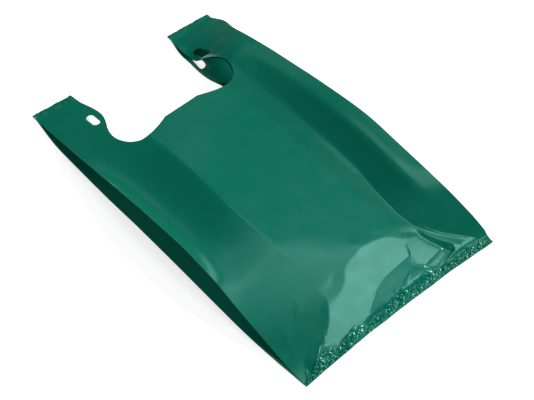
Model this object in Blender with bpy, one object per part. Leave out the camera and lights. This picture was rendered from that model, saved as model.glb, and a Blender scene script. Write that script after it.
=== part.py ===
"""Plastic carrier bag of the vest kind, lying on its back with both side folds half open.

The bag is one blown tube of thin film. It is tucked in at both sides, welded across the bottom
and across the two handle tops, and die-cut for its mouth, its handles and their hanging holes.

The flat bag is drawn first as a plan: u runs across it from the left crease, and v runs up it
from the bottom edge. Four films lie over that plan: the back, the lower and the upper leg of a
side fold, and the front. Every plan point is lifted to eight levels, which are the under and
upper faces of those films, and the skin round all filled cells of that stack is the solid.
"""
import math

import bpy
from mathutils import Vector
from mathutils.geometry import delaunay_2d_cdt

MM = 0.001

# The flat bag, in metres
BAG_WIDTH = 0.305
BAG_LENGTH = 0.555
FOLD_DEPTH = 0.089
BOTTOM_WELD = 0.012
HANDLE_WELD = 0.009

# The film is drawn thicker than it is, so that it makes a solid
FILM = 0.00045
FILM_GAP = 0.00035
WELD_THICKNESS = 0.0018

# The die-cut mouth, measured from a side crease and from the handle tops
HANDLE_WIDTH = 0.066
TAB_WIDTH = 0.070
TAB_DROP = 0.062
NECK_WIDTH = 0.057
NECK_DROP = 0.117
LOBE_INSET = 0.085
LOBE_DROP = 0.153
MOUTH_DROP = 0.1415
MOUTH_STEP = 0.126

# The hanging hole in each handle: a slot with round ends, along the bag. Its middle is measured
# from the widest edge of the tab and from the handle top.
HOLE_EDGE = 0.013
HOLE_DROP = 0.065
HOLE_LENGTH = 0.026
HOLE_WIDTH = 0.012

# How the bag lies. Each line runs up the bag from the bottom weld to the handle welds. Each of its
# points gives the share of that way, then the drift sideways from the line's flat place and the
# height above the closed stack, both in millimetres.
BACK_LEFT = ((0, 0, 0), (0.07, -3, 0), (0.165, -5, 0), (0.41, -6, 0), (0.68, -4, 0),
             (0.82, -4, 0), (0.895, -3, 0), (1, 5, 0))
BACK_INNER_LEFT = ((0, -0.6, 0), (0.165, -5, 0), (0.41, -7, 0), (0.75, -5, 0), (0.895, 9, 0),
                   (1, -1.5, 0))
BACK_INNER_RIGHT = ((0, -1.6, 0), (0.165, -5, 0), (0.41, -7, 0), (0.68, -9, 0), (0.75, -12, 0),
                    (0.82, -21, 0), (0.895, -12, 0), (0.95, -11, 0), (1, -5, 0))
BACK_RIGHT = ((0, -2, 0), (0.165, -5, 0), (0.41, -8, 0), (0.68, -11, 0), (0.82, -14, 0),
              (0.895, -13, 0), (1, 0, 0))
LEFT_CREASE = ((0, 0, 0), (0.07, 0, 5), (0.165, 0, 21), (0.28, 1, 38), (0.41, 1, 44),
               (0.56, 1, 39), (0.68, 1, 28), (0.82, 1, 17), (0.895, 2, 8), (1, 5, 0))
LEFT_RIDGE = ((0, -0.6, 0), (0.07, 4, 12), (0.165, 2, 25), (0.28, -1.5, 31), (0.41, -3, 32.5),
              (0.56, -1, 33), (0.68, -1, 27.5), (0.75, -3.5, 25.5), (0.82, -2, 16),
              (0.895, 0, 7), (1, -1.5, 0))
MIDDLE = ((0, 0, 0), (0.07, 0, 11), (0.165, 0, 22), (0.28, 0, 27), (0.41, 0, 28.5),
          (0.75, 0, 29), (0.82, 0, 25.5), (0.86, 0, 17), (0.895, 0, 8), (1, 0, 0))
RIGHT_VALLEY = ((0, -1.6, 0), (0.07, 0, 7), (0.165, 1, 12), (0.28, 0, 20), (0.41, 2, 25),
                (0.56, 3, 27), (0.68, 0.5, 29), (0.75, -1.5, 32), (0.82, -0.5, 33.5),
                (0.86, 0, 22), (0.895, -4, 8), (0.95, -8, 4), (1, -5, 0))
RIGHT_CREASE = ((0, -2, 0), (0.03, 4, 16), (0.07, 2.5, 25), (0.165, -0.5, 36), (0.28, -2, 45),
                (0.41, -2, 48), (0.56, -2, 45), (0.68, -3, 38.5), (0.75, -3, 31),
                (0.82, -3, 25.5), (0.895, -3, 17), (1, 0, 0))
LEFT_FOLD = ((0, -0.6, 0), (0.07, -4, 7), (0.165, -8, 17), (0.28, -11, 25), (0.41, -12, 27),
             (0.56, -11, 25), (0.68, -8, 19), (0.75, -6, 14), (0.895, -2, 14), (1, -1.5, 0))
RIGHT_FOLD = ((0, -1.4, 0), (0.07, -1, 4), (0.165, 0, 8), (0.28, 2, 14), (0.41, 3, 17),
              (0.56, 3, 17), (0.75, 0, 15), (0.895, -3, 15), (1, -4, 0))

# How deep the front film sags between the left crease and the ridge beside it
BAND_SAG = ((0, 0, 0), (0.07, 0, 2), (0.165, 0, 6), (0.28, 0, 8.5), (0.41, 0, 9.2),
            (0.56, 0, 9), (0.68, 0, 7), (0.75, 0, 3), (0.82, 0, 1), (0.895, 0, 0), (1, 0, 0))

# The handles: the right one's front strip arches and its tab droops at the hole, both tops are
# cut a little aslant, and the back strips have slipped along under the front ones
STRIP_ARCH = 0.006
TAB_DROOP = 0.006
TAB_DROOP_REACH = 0.030
LEFT_SKEW = -0.045
RIGHT_SKEW = 0.028
LEFT_BACK_SLIP = 0.006
RIGHT_BACK_SLIP = -0.004
HANDLE_START = 0.045
HANDLE_FOLD_DIP = 0.15

# Spacing of the plan's points
PLAN_COLUMN = 0.0135
PLAN_ROW = 0.023
CUT_STEPS = 7
HOLE_ARC_STEPS = 5
CUT_MARGIN = 0.0045

BACK, LOWER_FOLD, UPPER_FOLD, FRONT = 0, 2, 4, 6
CELLS = 7


def smooth(t):
    """Ease from 0 to 1 with level ends."""
    t = min(max(t, 0.0), 1.0)
    return t * t * (3 - 2 * t)


def mix(a, b, t):
    return a + (b - a) * t


def station(v):
    """How far a place is from the bottom weld to the handle welds, held between them."""
    return min(max((v - BOTTOM_WELD) / (BAG_LENGTH - HANDLE_WELD - BOTTOM_WELD), 0.0), 1.0)


def along(line, v, part):
    """Drift (part 1) or height (part 2) of a line at a place, on a smooth curve, in metres."""
    share = station(v)
    last = len(line) - 1
    i = max(k for k in range(last) if line[k][0] <= share)

    def slope(k):
        low, high = line[max(k - 1, 0)], line[min(k + 1, last)]
        return (high[part] - low[part]) / (high[0] - low[0])

    start, end = line[i], line[i + 1]
    step = end[0] - start[0]
    t = (share - start[0]) / step
    value = ((2 * t ** 3 - 3 * t ** 2 + 1) * start[part] + (t ** 3 - 2 * t ** 2 + t) * step * slope(i)
             + (3 * t ** 2 - 2 * t ** 3) * end[part] + (t ** 3 - t ** 2) * step * slope(i + 1))
    return value * MM


def line_x(line, flat_u, v):
    return flat_u + along(line, v, 1)


def line_lift(line, v):
    return along(line, v, 2)


def in_handle(v):
    """From 0 at the lobes of the mouth to 1 in the handles."""
    return smooth((v - (BAG_LENGTH - LOBE_DROP)) / HANDLE_START)


def front_point(u, v):
    """Place across, and lift above the closed stack, of the front film."""
    valley_u = BAG_WIDTH - NECK_WIDTH
    ridge_height = line_lift(LEFT_RIDGE, v)
    valley_height = line_lift(RIGHT_VALLEY, v)
    if u <= FOLD_DEPTH:
        t = u / FOLD_DEPTH
        x = mix(line_x(LEFT_CREASE, 0, v), line_x(LEFT_RIDGE, FOLD_DEPTH, v), t)
        lift = mix(line_lift(LEFT_CREASE, v), ridge_height, t)
        return x, lift - line_lift(BAND_SAG, v) * 4 * t * (1 - t)
    if u <= valley_u:
        t = (u - FOLD_DEPTH) / (valley_u - FOLD_DEPTH)
        x = mix(line_x(LEFT_RIDGE, FOLD_DEPTH, v), line_x(RIGHT_VALLEY, valley_u, v), t)
        control = 2 * line_lift(MIDDLE, v) - (ridge_height + valley_height) / 2
        lift = (1 - t) ** 2 * ridge_height + 2 * t * (1 - t) * control + t * t * valley_height
        hole_distance = (v - (BAG_LENGTH - HOLE_DROP)) / TAB_DROOP_REACH
        droop = TAB_DROOP * max(0.0, 1 - hole_distance ** 2) ** 2
        return x, lift - droop * min((valley_u - u) / (TAB_WIDTH - NECK_WIDTH), 1.0)
    t = (u - valley_u) / NECK_WIDTH
    x = mix(line_x(RIGHT_VALLEY, valley_u, v), line_x(RIGHT_CREASE, BAG_WIDTH, v), t)
    rise = mix(math.sin(math.pi / 2 * t), t, in_handle(v))
    arch = STRIP_ARCH * 4 * t * (1 - t) * in_handle(v) * smooth((1 - station(v)) * 8)
    return x, mix(valley_height, line_lift(RIGHT_CREASE, v), rise) + arch


def front_lift_at(x, v):
    """Lift of the front film straight above a place across, by halving."""
    low, high = 0.0, BAG_WIDTH
    for _ in range(30):
        middle = (low + high) / 2
        if front_point(middle, v)[0] < x:
            low = middle
        else:
            high = middle
    return front_point(low, v)[1]


def back_point(u, v):
    lines = ((BACK_LEFT, 0.0), (BACK_INNER_LEFT, FOLD_DEPTH),
             (BACK_INNER_RIGHT, BAG_WIDTH - NECK_WIDTH), (BACK_RIGHT, BAG_WIDTH))
    for (line, start), (next_line, end) in zip(lines, lines[1:]):
        if u <= end:
            break
    t = (u - start) / (end - start)
    return mix(line_x(line, start, v), line_x(next_line, end, v), t), 0.0


def fold_point(u, v, upper):
    """Place and lift of one leg of a side fold, from its crease to its inner edge."""
    on_left = u < BAG_WIDTH / 2
    t = (u if on_left else BAG_WIDTH - u) / FOLD_DEPTH
    crease_u = 0.0 if on_left else BAG_WIDTH
    inner_u = FOLD_DEPTH if on_left else BAG_WIDTH - FOLD_DEPTH
    fold = LEFT_FOLD if on_left else RIGHT_FOLD
    inner_x, inner_lift = line_x(fold, inner_u, v), line_lift(fold, v)
    film = front_point if upper else back_point
    beside = film(u, v)[0]
    x = mix(mix(film(crease_u, v)[0], inner_x, t), beside, in_handle(v))
    if not upper:
        return x, inner_lift * t * (1 - in_handle(v))
    lift = front_lift_at(x, v)
    dip = mix(front_lift_at(inner_x, v) - inner_lift, HANDLE_FOLD_DIP * lift, in_handle(v))
    return x, lift - dip * t


def film_point(cell, u, v):
    if cell == BACK:
        return back_point(u, v)
    if cell == FRONT:
        return front_point(u, v)
    return fold_point(u, v, cell == UPPER_FOLD)


def length_place(cell, u, v):
    """Where a plan point lands along the bag: aslant at the handle tops, slipped in the back strips."""
    on_left = u < BAG_WIDTH / 2
    from_crease = u if on_left else BAG_WIDTH - u
    hole_v = BAG_LENGTH - HOLE_DROP
    y = v + (LEFT_SKEW if on_left else RIGHT_SKEW) * from_crease * smooth((v - hole_v) / HOLE_DROP)
    if cell in (BACK, LOWER_FOLD):
        below = (hole_v - v) / (LOBE_DROP - HOLE_DROP)
        away = max(below, (v - hole_v) / (HOLE_DROP - HANDLE_WELD))
        y += (LEFT_BACK_SLIP if on_left else RIGHT_BACK_SLIP) * smooth(1 - away)
    return y


def level_height(level, v):
    """Height of a level in the closed stack, thinner where the weld has pressed it."""
    open_height = level // 2 * (FILM + FILM_GAP) + level % 2 * FILM
    pressed = WELD_THICKNESS * level / CELLS
    from_bottom = v / BOTTOM_WELD
    from_top = (BAG_LENGTH - v) / HANDLE_WELD
    return mix(pressed, open_height, smooth(min(from_bottom, from_top)))


def place(u, v, level):
    """Where a plan point lands on one of the eight levels."""
    in_side_fold = min(u, BAG_WIDTH - u) < FOLD_DEPTH + FILM / 2
    film = min(level // 2 * 2, FRONT)
    if not in_side_fold and film in (LOWER_FOLD, UPPER_FOLD):
        film = FRONT if film == UPPER_FOLD else BACK
    x, lift = film_point(film, u, v)
    return Vector((x, length_place(film, u, v), lift + level_height(level, v)))


def curve(start, start_way, end, end_way, steps):
    """Points of one smooth stretch of the cut, from its ends and its directions there."""
    points = []
    for k in range(steps):
        t = k / steps
        a, b = 2 * t ** 3 - 3 * t ** 2 + 1, t ** 3 - 2 * t ** 2 + t
        c, d = 3 * t ** 2 - 2 * t ** 3, t ** 3 - t ** 2
        points.append(Vector(start) * a + Vector(start_way) * b + Vector(end) * c + Vector(end_way) * d)
    return points


def handle_cut():
    """The cut edge from the left handle's top corner to the mouth's middle step."""
    corner = (HANDLE_WIDTH, BAG_LENGTH)
    tab = (TAB_WIDTH, BAG_LENGTH - TAB_DROP)
    neck = (NECK_WIDTH, BAG_LENGTH - NECK_DROP)
    lobe = (LOBE_INSET, BAG_LENGTH - LOBE_DROP)
    step = (MOUTH_STEP, BAG_LENGTH - MOUTH_DROP)
    tab_fall = TAB_DROP * 0.9
    neck_fall = (NECK_DROP - TAB_DROP) * 1.1
    lobe_fall = (LOBE_DROP - NECK_DROP) * 1.6
    lobe_reach = (LOBE_INSET - NECK_WIDTH) * 1.6
    step_reach = MOUTH_STEP - LOBE_INSET
    points = curve(corner, (0, -tab_fall), tab, (0, -tab_fall), CUT_STEPS)
    points += curve(tab, (0, -neck_fall), neck, (0, -neck_fall), CUT_STEPS)
    points += curve(neck, (0, -lobe_fall), lobe, (lobe_reach, 0), CUT_STEPS)
    points += curve(lobe, (step_reach, 0), step, (step_reach, step_reach * 0.45), CUT_STEPS)
    return points + [Vector(step)]


def hole_outline(centre_u):
    """A slot with round ends, as one closed loop."""
    centre_v = BAG_LENGTH - HOLE_DROP
    straight = (HOLE_LENGTH - HOLE_WIDTH) / 2
    points = []
    for end, start_angle in ((1, 0.0), (-1, math.pi)):
        for k in range(HOLE_ARC_STEPS + 1):
            angle = start_angle + math.pi * k / HOLE_ARC_STEPS
            points.append(Vector((centre_u + HOLE_WIDTH / 2 * math.cos(angle),
                                  centre_v + end * straight + HOLE_WIDTH / 2 * math.sin(angle))))
    return points


def outer_outline():
    left = handle_cut()
    right = [Vector((BAG_WIDTH - p.x, p.y)) for p in left]
    bottom = [Vector((0, 0)), Vector((BAG_WIDTH, 0)), Vector((BAG_WIDTH, BAG_LENGTH))]
    return bottom + right + left[::-1] + [Vector((0, BAG_LENGTH))]


def inside(point, loop):
    """Even-odd test of a point against a closed loop."""
    result = False
    for a, b in zip(loop, loop[1:] + loop[:1]):
        if (a.y > point.y) != (b.y > point.y):
            if point.x < a.x + (point.y - a.y) / (b.y - a.y) * (b.x - a.x):
                result = not result
    return result


def distance_to_loop(point, loop):
    nearest = math.inf
    for a, b in zip(loop, loop[1:] + loop[:1]):
        way = b - a
        t = min(max((point - a).dot(way) / way.length_squared, 0.0), 1.0)
        nearest = min(nearest, (a + way * t - point).length)
    return nearest


def spread(start, end, spacing):
    """Evenly spaced values from start to end, both included."""
    count = max(1, round((end - start) / spacing))
    return [mix(start, end, k / count) for k in range(count + 1)]


def plan_columns():
    """Places across the plan: the creases, the inner edges of the folds, and those between."""
    edge = FILM
    left = [0.0] + spread(edge, FOLD_DEPTH - edge, PLAN_COLUMN)
    middle = spread(FOLD_DEPTH, BAG_WIDTH - NECK_WIDTH, PLAN_COLUMN * 1.5)
    right = [BAG_WIDTH - u for u in reversed(left)]
    between = [u for u in middle if u < right[0] - PLAN_COLUMN / 2]
    return left, between + [BAG_WIDTH - FOLD_DEPTH], right


def plan_mesh():
    """Triangles of the flat bag, split along the creases, the folds and the welds."""
    outer = outer_outline()
    hole_u = TAB_WIDTH - HOLE_EDGE
    holes = [hole_outline(hole_u), hole_outline(BAG_WIDTH - hole_u)]
    points, edges = [], []

    def add_chain(chain, closed):
        first = len(points)
        points.extend(chain)
        edges.extend((k, k + 1) for k in range(first, len(points) - 1))
        if closed:
            edges.append((len(points) - 1, first))

    for loop in [outer] + holes:
        add_chain(loop, True)
    rows = [0.0] + spread(BOTTOM_WELD, BAG_LENGTH - HANDLE_WELD, PLAN_ROW) + [BAG_LENGTH]
    left, middle, right = plan_columns()
    creases = left[:2] + left[-1:] + middle[:1] + middle[-1:] + right[:1] + right[-2:]
    for u in creases:
        add_chain([Vector((u, v)) for v in rows], False)
    for v in (BOTTOM_WELD, BAG_LENGTH - HANDLE_WELD):
        add_chain([Vector((u, v)) for u in left + middle + right], False)
    for u in left + middle + right:
        for v in rows:
            point = Vector((u, v))
            clear = min(distance_to_loop(point, loop) for loop in [outer] + holes) > CUT_MARGIN
            if u not in creases and clear and inside(point, outer):
                if not any(inside(point, hole) for hole in holes):
                    points.append(point)
    verts, _, faces, *_ = delaunay_2d_cdt(points, edges, [], 0, 1e-6)
    kept = []
    for face in faces:
        centre = sum((verts[k] for k in face), Vector((0, 0))) / len(face)
        if inside(centre, outer) and not any(inside(centre, hole) for hole in holes):
            kept.append(tuple(face))
    return [Vector((p.x, p.y)) for p in verts], kept


def filled_cells(u, v):
    """Which of the seven cells of the stack are film at a place in the plan."""
    edge = FILM
    if v < BOTTOM_WELD or v > BAG_LENGTH - HANDLE_WELD:
        return set(range(CELLS))
    from_side = min(u, BAG_WIDTH - u)
    if from_side < edge:
        return {0, 1, 2, 4, 5, 6}
    if from_side < FOLD_DEPTH - edge:
        return {0, 2, 4, 6}
    if from_side < FOLD_DEPTH:
        return {0, 2, 3, 4, 6}
    return {0, 6}


def bag_mesh():
    """The skin round all filled cells, as one closed mesh."""
    plan, triangles = plan_mesh()
    filled = []
    neighbours = {}
    for index, triangle in enumerate(triangles):
        centre = sum((plan[k] for k in triangle), Vector((0, 0))) / 3
        filled.append(filled_cells(centre.x, centre.y))
        for a, b in zip(triangle, triangle[1:] + triangle[:1]):
            neighbours[a, b] = index
    numbers, verts, faces = {}, [], []

    def corner(k, level):
        if (k, level) not in numbers:
            numbers[k, level] = len(verts)
            verts.append(place(plan[k].x, plan[k].y, level))
        return numbers[k, level]

    for index, triangle in enumerate(triangles):
        for cell in filled[index]:
            if cell - 1 not in filled[index]:
                faces.append([corner(k, cell) for k in reversed(triangle)])
            if cell + 1 not in filled[index]:
                faces.append([corner(k, cell + 1) for k in triangle])
            for a, b in zip(triangle, triangle[1:] + triangle[:1]):
                beyond = neighbours.get((b, a))
                if beyond is None or cell not in filled[beyond]:
                    faces.append([corner(a, cell), corner(b, cell), corner(b, cell + 1)])
                    faces.append([corner(a, cell), corner(b, cell + 1), corner(a, cell + 1)])
    middle_x = (min(p.x for p in verts) + max(p.x for p in verts)) / 2
    middle_y = (min(p.y for p in verts) + max(p.y for p in verts)) / 2
    centred = [p - Vector((middle_x, middle_y, 0)) for p in verts]
    mesh = bpy.data.meshes.new("bag")
    mesh.from_pydata(centred, [], faces)
    mesh.update()
    return mesh


def film_material():
    """Green polyethylene film, smooth and glossy."""
    material = bpy.data.materials.new("green_film")
    material.use_nodes = True
    shader = material.node_tree.nodes["Principled BSDF"]
    shader.inputs["Base Color"].default_value = (0.0, 0.155, 0.103, 1.0)
    shader.inputs["Roughness"].default_value = 0.25
    shader.inputs["Metallic"].default_value = 0.0
    return material


def main():
    for thing in list(bpy.data.objects):
        bpy.data.objects.remove(thing)
    mesh = bag_mesh()
    mesh.materials.append(film_material())
    bag = bpy.data.objects.new("bag", mesh)
    bpy.context.scene.collection.objects.link(bag)


main()
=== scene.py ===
"""Plastic carrier bag: its film as a fine mesh with folds and crinkles, its gloss, and the stage.

The bag is drawn first as the flat, die-cut tube: u runs across it from the left crease, and v runs
up it from the bottom edge. Four films lie over that plan: the back, the lower and the upper leg of
a side fold, and the front. Every plan point is lifted to eight levels, which are the under and
upper faces of those films, and the skin round the films is the mesh. Facets and wrinkles are
pressed into it near the bottom, and Geometry Nodes crinkle it along the welds.
"""

import math

import bmesh
import bpy
import numpy as np
from bpy.props import FloatProperty, FloatVectorProperty, PointerProperty
from mathutils import Matrix, Vector
from mathutils.geometry import delaunay_2d_cdt


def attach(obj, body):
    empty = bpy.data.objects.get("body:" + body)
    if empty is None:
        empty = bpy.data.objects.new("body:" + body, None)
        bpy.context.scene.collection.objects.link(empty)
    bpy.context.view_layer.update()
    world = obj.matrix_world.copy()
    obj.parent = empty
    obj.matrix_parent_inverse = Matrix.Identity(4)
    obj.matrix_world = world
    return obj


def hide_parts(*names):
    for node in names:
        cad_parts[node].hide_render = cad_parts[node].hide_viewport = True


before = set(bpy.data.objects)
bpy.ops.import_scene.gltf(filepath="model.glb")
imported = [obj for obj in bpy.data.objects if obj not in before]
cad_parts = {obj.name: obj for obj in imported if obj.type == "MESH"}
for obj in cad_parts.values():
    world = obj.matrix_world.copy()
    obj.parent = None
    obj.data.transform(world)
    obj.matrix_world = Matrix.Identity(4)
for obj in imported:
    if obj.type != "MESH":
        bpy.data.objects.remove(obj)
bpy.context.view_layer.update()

bl_info = {
    "name": "Plastic carrier bag",
    "version": (1, 0, 0),
    "blender": (4, 5, 0),
    "location": "3D View > Sidebar > Carrier bag",
    "description": "Builds a vest carrier bag of thin glossy film, lying on its back",
    "category": "Add Mesh",
}

MM = 0.001

# The flat bag, as the CAD model has it
BAG_WIDTH = 0.305
BAG_LENGTH = 0.555
FOLD_DEPTH = 0.089
BOTTOM_WELD = 0.012
HANDLE_WELD = 0.009
HANDLE_WIDTH = 0.066
TAB_WIDTH = 0.070
TAB_DROP = 0.062
NECK_WIDTH = 0.057
NECK_DROP = 0.117
LOBE_INSET = 0.085
LOBE_DROP = 0.153
MOUTH_DROP = 0.1415
MOUTH_STEP = 0.126
HOLE_EDGE = 0.013
HOLE_DROP = 0.065
HOLE_LENGTH = 0.026
HOLE_WIDTH = 0.012

# Where the lobes, the middles of the hanging holes and the handle welds are, up the flat bag
LOBE_V = BAG_LENGTH - LOBE_DROP
HOLE_V = BAG_LENGTH - HOLE_DROP
TOP_WELD_V = BAG_LENGTH - HANDLE_WELD

# How the bag lies. Each line runs up the bag from the bottom weld to the handle welds. Each of its
# points gives the share of that way, then the drift sideways from the line's flat place and the
# height above the closed stack, both in millimetres. The back's lines have no height, and the
# middle has no drift.
BACK_LEFT = (
    (0, -1), (0.07, -3.5), (0.165, -5.4), (0.28, -5), (0.41, -4), (0.56, -3.4), (0.68, -4),
    (0.82, -3), (0.895, -1.5), (1, 5))
BACK_INNER_LEFT = ((0, -0.6), (0.165, -5), (0.41, -7), (0.75, -5), (0.895, 9), (1, -1.5))
BACK_INNER_RIGHT = (
    (0, -1.6), (0.165, -5), (0.41, -7), (0.68, -9), (0.75, -12), (0.82, -21), (0.895, -12),
    (0.95, -11), (1, -5))
BACK_RIGHT = ((0, -2), (0.165, -5), (0.41, -8), (0.68, -11), (0.82, -14), (0.895, -13), (1, 0))
LEFT_CREASE = (
    (0, 0, 0), (0.035, 0.4, 0.8), (0.07, 0.6, 4.1), (0.118, 0.7, 11.2), (0.165, 0.9, 17),
    (0.22, 1.7, 23.6), (0.28, 3, 29.7), (0.35, 3.3, 34.4), (0.41, 3.4, 36.4), (0.56, 1.8, 35),
    (0.68, 2.1, 26.5), (0.82, 2.1, 17), (0.895, 3.4, 8.5), (1, 5, 0))
LEFT_RIDGE = (
    (0, -0.6, 0), (0.024, 0, 5), (0.06, 0, 10), (0.0936, 1, 14.5), (0.118, 1, 17),
    (0.159, 1.5, 20.8), (0.202, 0, 25), (0.28, -2, 31.5), (0.41, -4.6, 35.5), (0.56, -2.3, 35.5),
    (0.68, -2.2, 30), (0.75, -4.2, 27), (0.82, -2, 16), (0.895, 0, 7), (1, -1.5, 0))
MIDDLE = (
    (0, 0), (0.0094, 3.6), (0.034, 5.5), (0.0524, 6.8), (0.0693, 8.1), (0.107, 13.5), (0.1386, 20),
    (0.159, 22.1), (0.193, 24), (0.258, 26.3), (0.41, 29.3), (0.56, 30.5), (0.75, 30), (0.82, 25.5),
    (0.86, 17), (0.895, 8), (1, 0))
RIGHT_VALLEY = (
    (0, -1.6, 0), (0.017, -0.5, 3), (0.06, 0, 7.3), (0.088, -0.3, 10.4), (0.118, -0.6, 13.6),
    (0.165, -1, 17.6), (0.28, -1.3, 23.5), (0.41, 0.5, 28), (0.56, 2, 29.5), (0.68, 0.3, 30.5),
    (0.75, -0.5, 31), (0.79, 0, 30), (0.82, 1, 27), (0.86, 0.5, 18.5), (0.895, -4, 9),
    (0.95, -8, 4), (1, -5, 0))
RIGHT_CREASE = (
    (0, 3, 0), (0.0105, 4, 3.4), (0.028, 3.3, 9), (0.045, 2.5, 14), (0.077, 1.4, 20.9),
    (0.118, 0.3, 28), (0.165, -0.2, 33.5), (0.22, 0.6, 36.8), (0.28, 1.5, 40), (0.41, 4.3, 44),
    (0.56, 1.8, 42.5), (0.68, -1.4, 39), (0.75, -3, 36), (0.82, -5, 32), (0.86, -4.6, 27),
    (0.895, -3.2, 21), (0.95, 3.5, 10), (1, 0, 0))
LEFT_FOLD = (
    (0, -0.6, 0), (0.07, -4, 5), (0.165, -8, 14), (0.28, -11, 25), (0.41, -12, 27), (0.56, -11, 25),
    (0.68, -8, 19), (0.75, -6, 14), (0.895, -2, 14), (1, -1.5, 0))
RIGHT_FOLD = (
    (0, -1.4, 0), (0.07, -1, 4), (0.165, 0, 8), (0.28, 2, 14), (0.41, 3, 17), (0.56, 3, 17),
    (0.75, 0, 15), (0.895, -3, 15), (1, -4, 0))

# How deep the front film sags at its left side, and how deep its middle hangs towards the right:
# the share of the way up, and millimetres
BAND_SAG = (
    (0, 0), (0.165, 0), (0.22, 0.4), (0.26, 1.6), (0.31, 4.4), (0.41, 8.5), (0.48, 10.5),
    (0.56, 10.5), (0.64, 9), (0.7, 6), (0.76, 2), (0.82, 0.5), (0.895, 0), (1, 0))
MIDDLE_LEAN = ((0, 0), (0.07, 0), (0.12, 0.9), (0.165, 1), (0.25, 1), (0.4, 0), (1, 0))

# The sagging left side's cross-section: share of the way from its crease to the ridge, and share
# of the sag there
SAG_SECTION = (
    (0, 0), (0.06, 0.42), (0.15, 0.8), (0.3, 1), (0.48, 0.9), (0.66, 0.62), (0.84, 0.29),
    (0.95, 0.095), (1, 0))

# The right side's cross-section: share of the way from the valley to the crease, and share of the
# rise there. The fold rounds it over like this from a share of the way up the bag on.
RISE_SECTION = (
    (0, 0), (0.1, 0.135), (0.38, 0.56), (0.52, 0.82), (0.62, 0.95), (0.71, 0.995), (0.86, 1.01),
    (1, 1))
ROUNDED_FROM, ROUNDED_OVER = 0.1, 0.14

# Where the left ridge and the right valley turn out to the corners: places across and up the flat
# bag, in millimetres
RIDGE_PATH = ((0, 0), (30, 12), (55, 25), (76, 44), (89, 62))
VALLEY_PATH = (
    (305, 0), (295, 12), (286, 21), (266, 44), (254, 59), (243, 78), (240, 100), (242, 130),
    (248, 175))

# How far the weld bows in at its middle, and how far up that can be felt
WELD_BOW = 0.005
BOW_REACH = 0.090

# The handles, as the CAD model has them: how the strips arch and where that fades, how they droop
# at the tabs, lie aslant and slip, and how soon the body's film turns into them
STRIP_ARCH = 0.002
ARCH_FADE = 0.125
TAB_DROOP = 0.006
TAB_DROOP_REACH = 0.030
LEFT_SKEW = -0.045
LEFT_STRETCH = 0.0026
RIGHT_SKEW = 0.028
LEFT_BACK_SLIP = 0.006
RIGHT_BACK_SLIP = -0.004
HANDLE_START = 0.045
HANDLE_FOLD_DIP = 0.15

# Flat facets pressed into the front film: their corners in bag millimetres, the height in
# millimetres at the first corner, the slopes across and up the bag, and how far round them the film
# follows
FACETS = (
    (((30, 13), (53, 27), (80, 45), (110, 60), (138, 76), (152, 85), (169, 92), (190, 88),
      (203, 80), (220, 69), (212, 50), (165, 46), (146, 40), (130, 30), (112, 20), (85, 14),
      (50, 11)), 2.4, -0.033, 0.30, 18),
    (((220, 69), (236, 61), (252, 33), (218, 29), (209, 35), (212, 50)), 12.8, -0.02, 0.238, 10),
    (((253, 33), (257, 25), (236, 20), (219, 20), (217, 27)), 3.2, -0.01, 0.22, 6),
)

# Wrinkles pressed into the front film: the points of the crest in bag millimetres, its height, and
# how far it reaches to its left and to its right, looking from the first point
WRINKLES = (
    (((245, 75), (255, 59), (266, 44), (286, 21)), 0.5, 1.2, 1.0),
    (((243, 75), (247, 59), (254, 44), (262, 32), (273, 20)), 1.1, 1.6, 2.4),
    (((240, 73), (240, 60), (244, 48), (252, 31), (260, 15)), -0.9, 2.2, 1.5),
    (((221, 71), (213, 52), (208, 35)), -0.2, 0.8, 0.8),
    (((253, 34), (236, 30), (217, 28)), -0.25, 0.9, 0.9),
    (((258, 26), (236, 19), (219, 18)), 0.4, 0.9, 0.9),
    (((199, 34), (176, 24), (163, 18)), 0.9, 1.3, 1.1),
    (((163, 18), (161, 27)), 0.5, 0.9, 0.9),
    (((152, 25), (131, 19), (110, 15)), 0.7, 1.1, 1.0),
    (((94, 20), (83, 18), (70, 15)), 0.7, 1.1, 1.0),
    (((151, 35), (145, 37), (137, 39)), 0.35, 1.0, 1.0),
    (((66, 39), (54, 30), (44, 27), (27, 14), (11, 5)), 0.7, 1.0, 1.1),
    (((52, 23), (42, 20), (29, 13)), 0.7, 1.0, 1.0),
    (((14, 17), (10, 10), (6, 4)), 0.7, 1.0, 1.0),
    (((207, 40), (209, 33), (216, 26), (222, 25)), 0.35, 0.9, 0.9),
    (((204, 15), (216, 19), (231, 16)), 0.6, 1.0, 1.0),
    (((278, 17), (274, 8)), 0.6, 1.0, 1.0),
    (((66, 86), (57, 78), (47, 70)), 0.3, 2.2, 2.2),
    (((30, 64), (22, 58), (14, 51)), 0.3, 2.2, 2.2),
    (((96, 11), (126, 12), (157, 11), (181, 9), (206, 9)), -0.5, 0.7, 0.7),
)

# The middle of the lower half of the front film, which the lamps are aimed at, in metres
LIT_PLACE = Vector((0.02, -0.21, 0.015))

# How far up the crumpled band beside the bottom weld reaches along it, in bag millimetres, the
# reach that its curve is drawn over, and how far the crinkles reach down from the handle tops
CRINKLE_LIMIT = (
    (0, 4), (29, 14), (49, 18), (70, 18), (95, 17), (122, 17), (156, 19), (183, 17), (205, 18),
    (240, 15), (278, 13), (305, 4))
CRINKLE_REACH = 0.030
TOP_CRINKLE_REACH = 0.014

# How far up the bag the front film's mesh is split finer, there at the right corner's wrinkles, and
# how far up wrinkles are pressed in
FRONT_SPLIT_REACH = 0.031
CORNER_SPLIT = (0.200, 0.290, 0.078)
PRESSED_REACH = 0.115

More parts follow.
